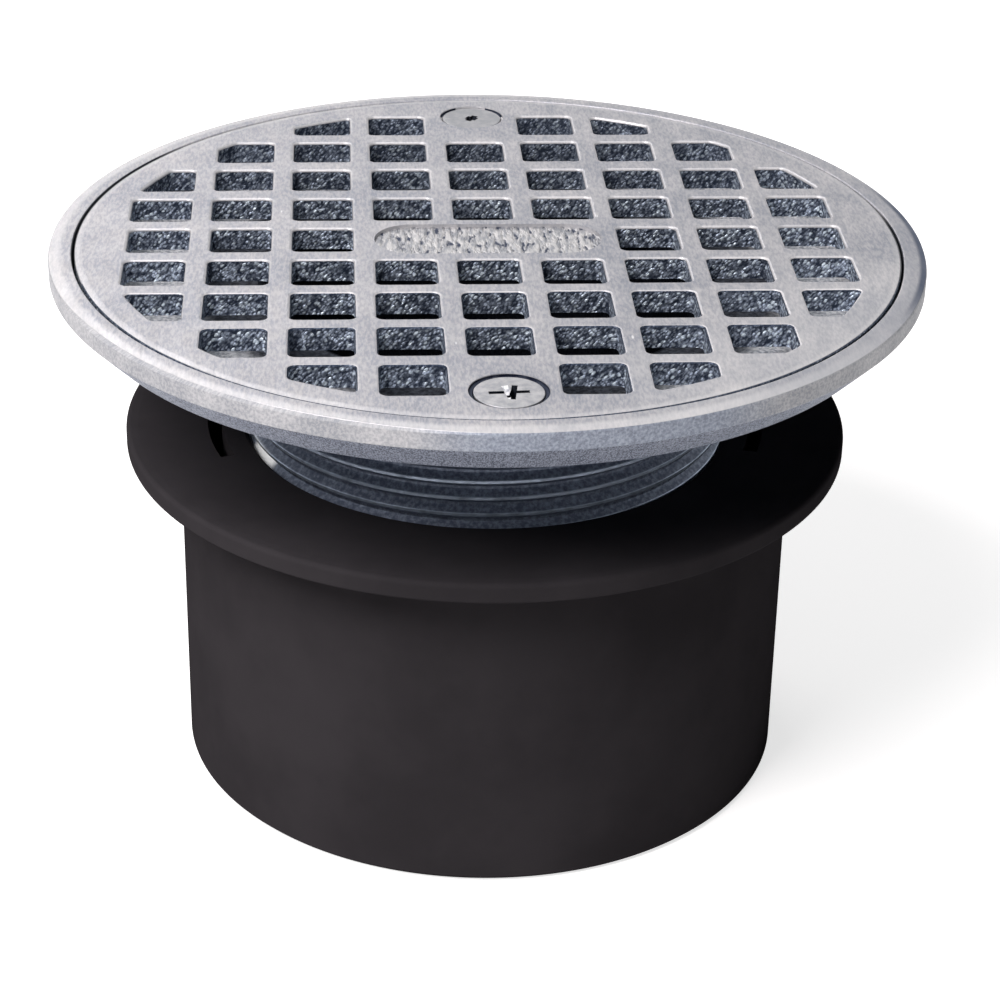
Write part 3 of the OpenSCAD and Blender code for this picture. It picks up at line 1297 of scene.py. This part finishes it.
@dataclass
class Grate:
    """The drop-in grate: a disc with a lattice of square holes, a pad and two countersinks."""

    fit: Fit
    skins: list[bpy.types.Material]
    count: int = 9
    pitch: float = 14.9
    hole_w: float = 11.1
    hole_round: float = 1.2
    round_spread: Span = (0.85, 1.2)
    least_bend: float = 15.0
    stray_x: Span = (-0.35, 0.05)
    stray_y: Span = (-0.15, 0.15)
    stray_w: Span = (-0.1, 0.1)
    wider_left: float = 0.15
    narrower_right: float = 0.25
    narrower_by_row: float = 0.1
    lip: float = 0.55
    field_r: float = 68.925
    pad_l: float = 41.5
    pad_w: float = 13.8
    pad_sink: float = 0.6
    pad_share: float = 0.5
    sink_angle: float = 82.0
    sink_gap: float = 0.2
    sink_depth: float = 0.3
    sink_hole_gap: float = 0.25
    sink_reach: float = 8.0
    ring_widths: Span = (0.6, 0.3)
    ring_edge_w: float = 0.06
    ring_edge_h: float = 0.12
    # where the far ring is left without painted shade
    ring_unshaded_w: float = 0.4
    ring_unshaded_y: float = 1.5
    # painted light: the ground skin runs further down the mouths at the back
    lit_lip_near: float = 0.3
    lit_lip_far: float = 0.9
    lit_lip_run: float = 30.0
    shoulder_w: float = 1.2
    shoulder_drop: float = 0.18
    rim_edge: float = 0.2
    underside_rise: float = 0.5
    segments: int = 288
    swellings: tuple[Swelling, ...] = (
        Swelling(250.0, 25.0, 0.2), Swelling(195.0, 22.0, -0.12), Swelling(84.0, 84.0, 0.33),
    )
    seed: int = 11
    draw: random.Random = field(init=False)

    def __post_init__(self) -> None:
        """Starts the draw of the casting's small irregularities."""
        self.draw = random.Random(self.seed)

    def has_hole(self, column: int, row: int) -> bool:
        """Whether the lattice has a hole.

        Args:
            column: The column, counted from the middle.
            row: The row, counted from the middle.

        Returns:
            True where there is a hole.
        """
        edge = (self.count - 1) // 2
        inside = math.hypot(column, row) * self.pitch < self.field_r
        on_pad = row == 0 and abs(column) < 2
        on_screw = column == 0 and abs(row) == edge
        return inside and not on_pad and not on_screw

    def hole_outline(self, column: int, row: int) -> list[tuple[float, float]]:
        """The outline of one hole, a little off its place and size, trimmed by the field.

        Args:
            column: The column, counted from the middle.
            row: The row, counted from the middle.

        Returns:
            The outline's points.
        """
        draw = self.draw.uniform
        x = column * self.pitch + draw(*self.stray_x)
        y = row * self.pitch + draw(*self.stray_y)
        left, front, right, rear = (self.hole_w / 2 + draw(*self.stray_w) for _ in range(4))
        left, right = x - (left + self.wider_left), x + (right - self.narrower_right)
        front, rear = y - (front - self.narrower_by_row * row), y + rear
        square = ((left, front), (right, front), (right, rear), (left, rear))
        trimmed = self._trim([Vector(corner) for corner in square])
        corners = [Corner(p.x, p.y, self._corner_round(trimmed, i)) for i, p in enumerate(trimmed)]
        return [(p.x, p.y) for p in rounded(corners, closed=True, steps=5)]

    def _corner_round(self, points: Sequence[Vector], index: int) -> float:
        """The radius of one corner: none along the field's arc.

        Args:
            points: The outline.
            index: The corner.

        Returns:
            The radius.
        """
        here = points[index]
        back, on = points[index - 1] - here, points[(index + 1) % len(points)] - here
        if math.pi - back.angle(on) <= math.radians(self.least_bend):
            return 0.0
        return self.hole_round * self.draw.uniform(*self.round_spread)

    def _trim(self, outline: Sequence[Vector]) -> list[Vector]:
        """Keeps the part of an outline that lies inside the round field.

        Args:
            outline: A convex outline.

        Returns:
            The trimmed outline.
        """
        kept = list(outline)
        steps = 96
        for step in range(steps):
            turn = FULL_TURN * (step + 0.5) / steps
            normal = Vector((math.cos(turn), math.sin(turn)))
            heights = [point.dot(normal) - self.field_r for point in kept]
            fresh = []
            for index, point in enumerate(kept):
                after = (index + 1) % len(kept)
                if heights[index] <= 0:
                    fresh.append(point)
                if heights[index] * heights[after] < 0:
                    share = heights[index] / (heights[index] - heights[after])
                    fresh.append(point.lerp(kept[after], share))
            kept = fresh
        return kept

    def build(self) -> bpy.types.Object:
        """Builds the grate's mesh.

        Returns:
            The piece.
        """
        made = added("grate_casting", self._lattice())
        self._weld(made)
        combine(made, [self._disc()], Join.TRIM)
        combine(made, [self._pad_cutter(), *self._countersinks()], Join.CUT)
        self._paint(made)
        shade(made)
        return made

    def _lattice(self) -> bpy.types.Mesh:
        """The blank with its holes, made as a filled curve with rounded mouths.

        Returns:
            The blank's mesh, in place.
        """
        curve = bpy.data.curves.new("grate_outline", "CURVE")
        curve.dimensions = "2D"
        curve.fill_mode = "BOTH"
        curve.bevel_depth = self.lip * MM
        curve.bevel_resolution = 4
        curve.offset = -self.lip * MM
        curve.extrude = (self.fit.grate_t / 2 - self.lip) * MM
        rim = arc(self.fit.grate_r + OVER, 0.0, FULL_TURN, self.segments)
        edge = (self.count - 1) // 2
        cells = [(i, j) for j in range(-edge, edge + 1) for i in range(-edge, edge + 1)]
        holes = [self.hole_outline(i, j) for i, j in cells if self.has_hole(i, j)]
        for outline in [rim, *holes]:
            spline = curve.splines.new("POLY")
            spline.points.add(len(outline) - 1)
            for point, (x, y) in zip(spline.points, outline):
                point.co = (x * MM, y * MM, 0.0, 1.0)
            spline.use_cyclic_u = True
        drawn = added("grate_outline", curve)
        data = evaluated(drawn)
        bpy.data.objects.remove(drawn)
        middle = (self.fit.strainer_z - self.fit.grate_t / 2) * MM
        data.transform(Matrix.Translation((0.0, 0.0, middle)))
        return data

    def _weld(self, made: bpy.types.Object) -> None:
        """Welds the parts of the filled curve into one closed mesh.

        Args:
            made: The grate.
        """
        mesh = bmesh.new()
        mesh.from_mesh(made.data)
        bmesh.ops.remove_doubles(mesh, verts=mesh.verts, dist=WELD)
        bmesh.ops.recalc_face_normals(mesh, faces=mesh.faces)
        mesh.to_mesh(made.data)
        mesh.free()
        made.data.materials.clear()
        for skin in self.skins:
            made.data.materials.append(skin)

    def _disc(self) -> bpy.types.Object:
        """The disc that trims the blank to the grate's size, with a crisp ground edge.

        Returns:
            The disc.
        """
        top, low, over = self.fit.strainer_z, self.fit.strainer_z - self.fit.grate_t, 0.5
        radius, edge, slope = self.fit.grate_r, self.rim_edge, self.shoulder_drop / self.shoulder_w
        shoulder_z, flat_r = top - self.shoulder_drop, radius - edge - self.shoulder_w
        disc = Former("disc", self.skins, self.segments).turn([
            Corner(AXIS_R, low + self.underside_rise),
            Corner(self.field_r, low + self.underside_rise),
            Corner(self.field_r + over, low - over), Corner(radius - over - edge, low - over),
            Corner(radius, low + edge), Corner(radius, shoulder_z - edge),
            Corner(radius - edge, shoulder_z), Corner(flat_r, top),
            Corner(flat_r - over / slope, top + over), Corner(AXIS_R, top + over),
        ], closed=True).close()
        swell(disc, self.swellings, (10.0, 2.0 * radius), 0.0)
        return disc

    def _pad_cutter(self) -> bpy.types.Object:
        """The cutter of the sunk pad.

        Returns:
            The cutter.
        """
        radius, top = self.pad_w / 2, self.fit.strainer_z
        reach = self.pad_l / 2 - radius
        right = arc(radius, -math.pi / 2, math.pi, 24, (reach, 0.0))
        left = arc(radius, math.pi / 2, math.pi, 24, (-reach, 0.0))
        return prism("pad", right + left, top - self.pad_sink, top + 1.0, self.skins, Skin.PEBBLED)

    def _countersinks(self) -> list[bpy.types.Object]:
        """The cutters of the screws' seats, each with a ring that is a little wider.

        Returns:
            The cutters.
        """
        cutters = []
        top, slope = self.fit.strainer_z, math.tan(math.radians(self.sink_angle / 2))
        sink_r = self.fit.head_d / 2 + self.sink_gap
        hole_r = self.fit.screw_d / 2 + self.sink_hole_gap
        sink_z, foot_z = top - self.fit.head_sink - self.sink_depth, top - self.sink_reach
        for side, width in zip((-1, 1), self.ring_widths):
            ring_r = sink_r + width
            mouth_r = ring_r + self.ring_edge_w
            cutter = Former("countersink", self.skins, segments=64).turn([
                Corner(AXIS_R, foot_z), Corner(hole_r, foot_z),
                Corner(hole_r, sink_z - (sink_r - hole_r) / slope), Corner(sink_r, sink_z),
                Corner(ring_r, sink_z + 0.1), Corner(ring_r, top - self.ring_edge_h),
                Corner(mouth_r, top), Corner(mouth_r, top + 1.0), Corner(AXIS_R, top + 1.0),
            ], closed=True).close()
            cutter.data.transform(Matrix.Translation((0.0, side * self.fit.screw_r * MM, 0.0)))
            cutters.append(cutter)
        return cutters

    def _paint(self, made: bpy.types.Object) -> None:
        """Gives the walls and the underside the sand-cast skin, and the seats their own, painted
        shade.

        The ground skin reaches further down the mouths on the far side, as a painted light
        band. The far screw's ring keeps the ground skin, without painted shade, on its inner side.

        Args:
            made: The grate.
        """
        top, screw_r = self.fit.strainer_z, self.fit.screw_r
        sink_r = self.fit.head_d / 2 + self.ring_widths[0] + 0.5
        for face in made.data.polygons:
            x, y, z = (part / MM for part in face.center)
            # painted light: the ground skin runs further down the mouths at the back
            far = min(max(y / self.lit_lip_run + 1.0, 0.0), 1.0)
            share = self.lit_lip_near + (self.lit_lip_far - self.lit_lip_near) * far
            ground = z > top - self.lip * share
            # the countersink rings are painted shade, except the inner side of the far one
            sunk = math.hypot(x, abs(y) - screw_r) < sink_r and z < top - 0.1
            filled = abs(x) < self.ring_unshaded_w * sink_r or y < screw_r + self.ring_unshaded_y
            filled = filled and y > 0.0
            on_pad = abs(y) < self.pad_w / 2 and abs(x) < self.pad_l / 2
            if on_pad and z < top - self.pad_sink * self.pad_share:
                face.material_index = Skin.PEBBLED
            elif sunk and not filled:
                face.material_index = Skin.SINK_SHADE
            else:
                face.material_index = Skin.GROUND if ground or sunk else Skin.SAND

    def dress(self, piece: bpy.types.Object) -> None:
        """Puts the piece in place of its CAD node.

        Args:
            piece: The built piece.
        """
        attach(piece, "grate")
        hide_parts("grate")


class Blade(NamedTuple):
    """One tapered arm of a cross recess: its turn, offset, half length and width, and depth."""

    turn: float
    offset: float
    reach: float
    half: float
    depth: float
    # skin 1 paints the recess as shade; skin 2 paints a glint
    skin: int = 1


@dataclass
class Screw:
    """One countersunk screw with a worn cross recess."""

    fit: Fit
    body: str
    side: int
    skins: list[bpy.types.Material]
    length: float = 9.5
    pitch: float = 1.27
    thread_depth: float = 0.55
    point: float = 0.6
    neck: float = 0.5
    head_rim: float = 0.3
    cone_h: float = 3.08
    # the arms are painted shade; one arm of the front cross carries a painted glint
    blades: tuple[Blade, ...] = (
        Blade(0.0, 0.0, 3.4, 0.45, 2.1), Blade(97.0, 0.22, 2.9, 0.55, 0.8, skin=2),
        Blade(80.0, -0.72, 2.6, 0.45, 2.0),
    )
    taper: Span = (0.45, 0.6)
    flare: Span = (0.4, 1.2)
    turn: float = 3.0

    def build(self) -> bpy.types.Object:
        """Builds the screw's mesh.

        Returns:
            The piece.
        """
        head_r, shank_r = self.fit.head_d / 2, self.fit.screw_d / 2
        root_r = shank_r - self.thread_depth
        shank_top = -self.head_rim - self.cone_h
        thread_low, thread_top = -self.length + self.point, shank_top - self.neck
        former = Former(f"{self.body}_turned", self.skins, segments=96)
        former.turn([
            Corner(root_r, thread_low), Corner(root_r - self.point, -self.length),
            Corner(AXIS_R, -self.length),
        ])
        former.turn(rounded([
            Corner(AXIS_R, 0.0), Corner(head_r, 0.0, 0.3), Corner(head_r, -self.head_rim),
            Corner(shank_r, shank_top, 0.3), Corner(root_r, thread_top),
        ], closed=False))
        former.thread(
            thread_low, thread_top, root_r, shank_r, self.pitch, fade=0.6, flat=0.12, rows=10
        )
        made = former.close()
        combine(made, [self._cutter(blade) for blade in self.blades], Join.CUT)
        height = (self.fit.strainer_z - self.fit.head_sink) * MM
        made.data.transform(Matrix.Rotation(math.radians(self.turn), 4, "Z"))
        made.data.transform(Matrix.Translation((0.0, self.side * self.fit.screw_r * MM, height)))
        shade(made, 30.0)
        return made

    def _cutter(self, blade: Blade) -> bpy.types.Object:
        """The cutter of one arm of the recess.

        Args:
            blade: The arm.

        Returns:
            The cutter.
        """
        low = (blade.reach * self.taper[0], blade.half * self.taper[1])
        high = (blade.reach + self.flare[0], blade.half * self.flare[1])
        foot, top = (
            [(i * x, j * y + blade.offset) for i, j in ((-1, -1), (1, -1), (1, 1), (-1, 1))]
            for x, y in (low, high)
        )
        cutter = prism("blade", foot, -blade.depth, 0.5, self.skins, blade.skin, top)
        cutter.data.transform(Matrix.Rotation(math.radians(blade.turn), 4, "Z"))
        return cutter

    def dress(self, piece: bpy.types.Object) -> None:
        """Puts the piece in place of its CAD node.

        Args:
            piece: The built piece.
        """
        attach(piece, self.body)
        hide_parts(self.body)


@dataclass
class DrainBody:
    """The moulded body: spigot, flange, dished face and a collar with a plain throat."""

    fit: Fit
    skin: bpy.types.Material
    spigot_r: float = 57.15
    spigot_wall: float = 5.15
    spigot_chamfer: float = 0.8
    body_h: float = 66.9
    flange_r: float = 67.0
    flange_t: float = 3.7
    flange_lip: float = 2.2
    flange_round: float = 0.9
    flange_fillet: float = 1.6
    dish_drop: float = 0.9
    collar_h: float = 22.0
    collar_wall: float = 4.7
    weep_count: int = 2
    weep_angle: float = 39.0
    weep_steps: int = 12
    weep_gap: float = 0.03
    rib_count: int = 4
    rib_t: float = 2.6

    def build(self) -> bpy.types.Object:
        """Builds the body's mesh.

        Returns:
            The piece.
        """
        top, lead, chamfer = self.body_h, self.fit.thread_lead, self.spigot_chamfer
        throat_r = self.fit.thread_r + self.fit.thread_gap
        throat_z, flange_low = top - self.dish_drop, top - self.flange_t
        inner_r = self.spigot_r - self.spigot_wall
        collar_r, collar_low = throat_r + self.collar_wall, throat_z - self.collar_h
        former = Former("drain_body_moulding", [self.skin]).turn(rounded([
            Corner(throat_r, collar_low + lead),
            Corner(throat_r + lead, collar_low, 0.2), Corner(collar_r, collar_low, 0.5),
            Corner(collar_r, flange_low, 0.8), Corner(inner_r, flange_low, 0.8),
            Corner(inner_r, 0.0, 0.4), Corner(self.spigot_r - chamfer, 0.0, 0.2),
            Corner(self.spigot_r, chamfer, 0.3),
            Corner(self.spigot_r, flange_low, self.flange_fillet),
            Corner(self.flange_r, flange_low, 0.5),
            Corner(self.flange_r, top, self.flange_round),
            Corner(self.flange_r - self.flange_lip, top, 1.2),
            Corner(throat_r + lead, throat_z, 0.25), Corner(throat_r, throat_z - lead),
        ], closed=False))
        former.thread(
            collar_low + lead, throat_z - lead, throat_r, throat_r, self.fit.pitch,
            self.fit.thread_phase, rows=4,
        )
        made = former.close()
        combine(made, self._ribs(collar_r, inner_r, collar_low, flange_low), Join.ADD)
        combine(made, self._slots(collar_r, inner_r, flange_low), Join.CUT)
        shade(made)
        return made

    def _slots(self, low_r: float, high_r: float, low: float) -> list[bpy.types.Object]:
        """The cutters of the weep slots.

        Args:
            low_r: The slots' inner radius.
            high_r: Their outer radius.
            low: The height of the flange's underside.

        Returns:
            The cutters.
        """
        cutters = []
        half, steps = math.radians(self.weep_angle / 2), self.weep_steps
        foot, top = low - OVER, low + self.flange_t + OVER
        for index in range(self.weep_count):
            middle = FULL_TURN * index / self.weep_count
            turns = [middle + half * (2 * step / steps - 1) for step in range(steps + 1)]
            sides = ((high_r - self.weep_gap, turns), (low_r + self.weep_gap, turns[::-1]))
            outline = [(r * math.cos(a), r * math.sin(a)) for r, side in sides for a in side]
            cutters.append(prism("slot", outline, foot, top, [self.skin]))
        return cutters

    def _ribs(
        self, low_r: float, high_r: float, low: float, high: float
    ) -> list[bpy.types.Object]:
        """The ribs between the collar and the spigot.

        Args:
            low_r: The collar's outer radius.
            high_r: The spigot's inner radius.
            low: The height of the collar's foot.
            high: The height of the flange's underside.

        Returns:
            The solids.
        """
        ribs = []
        half, inner, outer = self.rib_t / 2, low_r - BITE, high_r + BITE
        ends = ((inner, -half), (outer, -half), (outer, half), (inner, half))
        for index in range(self.rib_count):
            turn = FULL_TURN * (index + 0.5) / self.rib_count
            along = Vector((math.cos(turn), math.sin(turn)))
            across = Vector((-along.y, along.x))
            outline = [tuple(along * r + across * s) for r, s in ends]
            ribs.append(prism("rib", outline, low + self.collar_wall, high + BITE, [self.skin]))
        return ribs

    def dress(self, piece: bpy.types.Object) -> None:
        """Puts the piece in place of its CAD node.

        Args:
            piece: The built piece.
        """
        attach(piece, "drain_body")
        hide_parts("drain_body")


# ---------------------------------------------------------------------------
# The studio
# ---------------------------------------------------------------------------


@dataclass(frozen=True)
class Camera:
    """The camera, placed about the centre of the strainer's top."""

    strainer_z: float
    azimuth: float = -3.393
    elevation: float = 22.297
    distance: float = 507.59
    aim: tuple[float, float, float] = (3.13, 0.48, -54.1)
    roll: float = 1.14
    lens: float = 99.86

    def build(self) -> None:
        """Makes the scene's camera."""
        level, turn = math.radians(self.elevation), math.radians(self.azimuth)
        back = Vector((
            math.sin(turn) * math.cos(level), -math.cos(turn) * math.cos(level), math.sin(level)
        ))
        top = Vector((0.0, 0.0, self.strainer_z))
        place = top + back * self.distance
        look = (top + Vector(self.aim) - place).to_track_quat("-Z", "Y")
        data = bpy.data.cameras.new("camera")
        data.lens = self.lens
        data.clip_start = 0.01
        data.dof.use_dof = False
        made = added("camera", data)
        made.matrix_world = (
            Matrix.Translation(place * MM) @ look.to_matrix().to_4x4()
            @ Matrix.Rotation(math.radians(self.roll), 4, "Z")
        )
        bpy.context.scene.camera = made


@dataclass(frozen=True)
class Lamp:
    """One soft area lamp that looks at the drain. Its place and size are in metres."""

    name: str
    place: tuple[float, float, float]
    size: Span
    power: float
    color: Color

    def build(self, aim: Vector) -> None:
        """Makes the lamp.

        Args:
            aim: The point that it looks at, in metres.
        """
        data = bpy.data.lights.new(self.name, "AREA")
        data.shape = "RECTANGLE"
        data.size, data.size_y = self.size
        data.energy = self.power
        data.color = self.color
        made = added(self.name, data)
        made.location = self.place
        made.rotation_euler = (aim - Vector(self.place)).to_track_quat("-Z", "Y").to_euler()
        made.visible_camera = False


@dataclass(frozen=True)
class Studio:
    """A pale floor, a white surround and soft lamps. Its lengths are in metres."""

    floor_size: float = 6.0
    floor_z: float = -0.0002
    floor_glow: float = 0.72
    surround: float = 0.025
    aim: tuple[float, float, float] = (0.0, 0.0, 0.07)
    white: Color = (1.0, 1.0, 1.0)
    lamps: tuple[Lamp, ...] = (
        Lamp("key", (-0.60, -0.53, 1.02), (0.70, 0.70), 19.6, (1.0, 0.945, 0.94)),
        Lamp("top", (0.0, 0.2, 1.3), (1.2, 1.2), 1.5, (0.92, 0.96, 1.0)),
        Lamp("rear", (-0.20, 0.55, 0.56), (0.35, 0.25), 1.2, (1.0, 0.96, 0.95)),
    )

    def build(self) -> None:
        """Builds the floor, the world and the lamps."""
        self._floor()
        self._world()
        for lamp in self.lamps:
            lamp.build(Vector(self.aim))
        bpy.context.scene.view_settings.view_transform = "Standard"

    def _floor(self) -> None:
        """Lays a floor that keeps shadows and looks white."""
        tree = ShaderTree.of_material("floor_white")
        glow = {"Color": self.white, "Strength": tree.seen * self.floor_glow}
        shone = tree.node("ShaderNodeEmission", None, glow)
        tree.finish(base_color=(0.8, 0.8, 0.8), roughness=0.9, specular_ior_level=0.0)
        surface = Signal(tree, tree.shader.outputs[0])
        both = tree.node("ShaderNodeAddShader", None, {0: surface, 1: shone})
        tree.links.new(both.socket, tree.nodes["Material Output"].inputs["Surface"])
        mesh = bmesh.new()
        half = self.floor_size / 2
        corners = ((-half, -half), (half, -half), (half, half), (-half, half))
        mesh.faces.new([mesh.verts.new((x, y, self.floor_z)) for x, y in corners])
        floor = formed("floor", mesh, [tree.owner])

    def _world(self) -> None:
        """Makes the world white to the camera and in reflections, and faint as a light."""
        tree = ShaderTree(bpy.data.worlds.new("surround"), "Background")
        strength = self.surround + (1.0 - self.surround) * tree.seen
        bpy.context.scene.world = tree.finish(color=self.white, strength=strength)


def casting_skins(fit: Fit) -> list[bpy.types.Material]:
    """Builds the finishes of the cast pieces.

    Args:
        fit: The shared sizes.

    Returns:
        The materials, in the order of Skin.
    """
    finishes = {
        Skin.GROUND: GroundCasting(fit.strainer_z, fit.grate_r + fit.seat_gap / 2),
        Skin.SAND: SandCasting(fit.strainer_z, fit.strainer_z - fit.grate_t),
        Skin.THREAD: ThreadCasting(fit.thread_r),
        Skin.PEBBLED: PebbledCasting(),
        # the side's painted shade patch lies at the front
        Skin.SIDE: CastSide(
            "wiped_side", (0.29, 0.305, 0.335), (0.52, 0.52, 0.535), wiping=0.35, grain=0.5,
            relief=0.05, shade_patch=Sector(281.0, 12.0, 24.0),
        ),
        Skin.BEVEL: CastSide(
            "cast_bevel", (0.03, 0.04, 0.068), (0.34, 0.375, 0.46), wiping=0.1, grain=0.27,
            rise=0.75, relief=0.02,
        ),
        # painted shade for the frame's bore and the screws' recesses
        Skin.INSIDE: CastSide(
            "cast_inside_shade", (0.004, 0.005, 0.008), (0.02, 0.023, 0.03), wiping=0.3, gloss=0.0
        ),
        # painted light on the pale floor, and painted shade inside 51 to 56.5 mm
        Skin.LIT_LEDGE: CastSide(
            "cast_ledge_lit", (0.35, 0.37, 0.41), (0.92, 0.92, 0.93), wiping=0.1, grain=0.8,
            gloss=0.2, shaded_r=(56.5, 51.0),
        ),
        # painted shade in the countersink rings
        Skin.SINK_SHADE: CastSide(
            "sunk_seat_shade", (0.008, 0.011, 0.026), (0.05, 0.06, 0.085), wiping=0.2, grain=1.6,
            gloss=0.0,
        ),
    }
    return [finishes[skin].material() for skin in Skin]


def main() -> None:
    """Builds the studio and the drain's pieces."""
    logging.basicConfig(level=logging.INFO, format="%(name)s: %(message)s")
    fit = Fit()
    Camera(fit.strainer_z).build()
    Studio().build()
    casting = casting_skins(fit)
    steel, plastic = ScrewSteel().material(), BlackPlastic().material()
    # a darker copy of the screw steel for the far screw, painted shade
    shaded_steel = ScrewSteel("shaded_steel", (0.38, 0.38, 0.395), (0.22, 0.23, 0.25)).material()
    # dark paints shade in the recesses; bright paints a glint in the front cross
    dark, bright = casting[Skin.INSIDE], casting[Skin.LIT_LEDGE]
    worn_cross = (Blade(0.0, 0.0, 1.5, 0.6, 1.6), Blade(90.0, 0.0, 1.0, 0.75, 1.6))
    pieces = (
        DrainBody(fit, plastic),
        StrainerFrame(fit, casting),
        Grate(fit, casting),
        Screw(fit, "front_screw", -1, [steel, dark, bright]),
        Screw(fit, "rear_screw", 1, [shaded_steel, dark], blades=worn_cross, turn=58.0),
    )
    for piece in pieces:
        made = piece.build()
        piece.dress(made)
        LOG.info("%s: %d faces", made.name, len(made.data.polygons))


if __name__ == "__main__":
    main()
